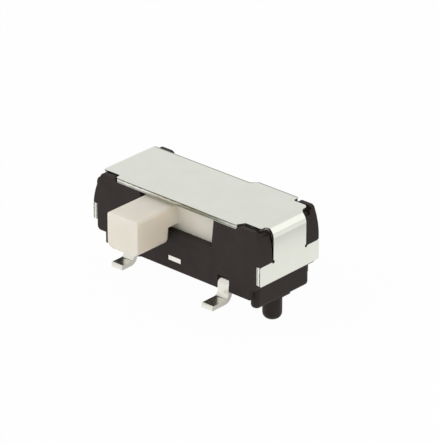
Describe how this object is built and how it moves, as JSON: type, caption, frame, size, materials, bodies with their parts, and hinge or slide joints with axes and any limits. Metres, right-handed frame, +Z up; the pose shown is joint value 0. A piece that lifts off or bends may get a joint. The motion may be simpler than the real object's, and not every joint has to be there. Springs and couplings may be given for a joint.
{
  "type": "slide switch",
  "caption": "Miniature right-angle slide switch for surface mounting: black moulded housing under a folded bright metal cover, cream knob that slides in a front window from click to click.",
  "frame": {"origin": "in the board plane, midway between the two locating posts", "axes": "+Z up from the board, +X along the travel towards the second position, -Y out of the front on the knob's side"},
  "size_m": [0.009, 0.0064, 0.0046],
  "materials": {
    "housing": "black heat-resistant moulding, fine matte",
    "cover": "bright tin plate on steel sheet",
    "slider": "cream moulding, satin",
    "contact": "spring bronze",
    "spring": "spring steel",
    "terminals": "tin plate on formed copper-alloy strip"
  },
  "bodies": {
    "base": {"housing": "housing", "cover": "cover", "terminal_left": "terminals", "terminal_right": "terminals", "terminal_common": "terminals"},
    "slider": {"slider": "slider", "moving_contact": "contact", "detent_spring": "spring"}
  },
  "joints": [
    {"name": "slider_travel", "type": "slide", "parent": "base", "child": "slider", "axis": [1, 0, 0], "range_m": [0, 0.002], "deforming": ["detent_spring"]}
  ]
}
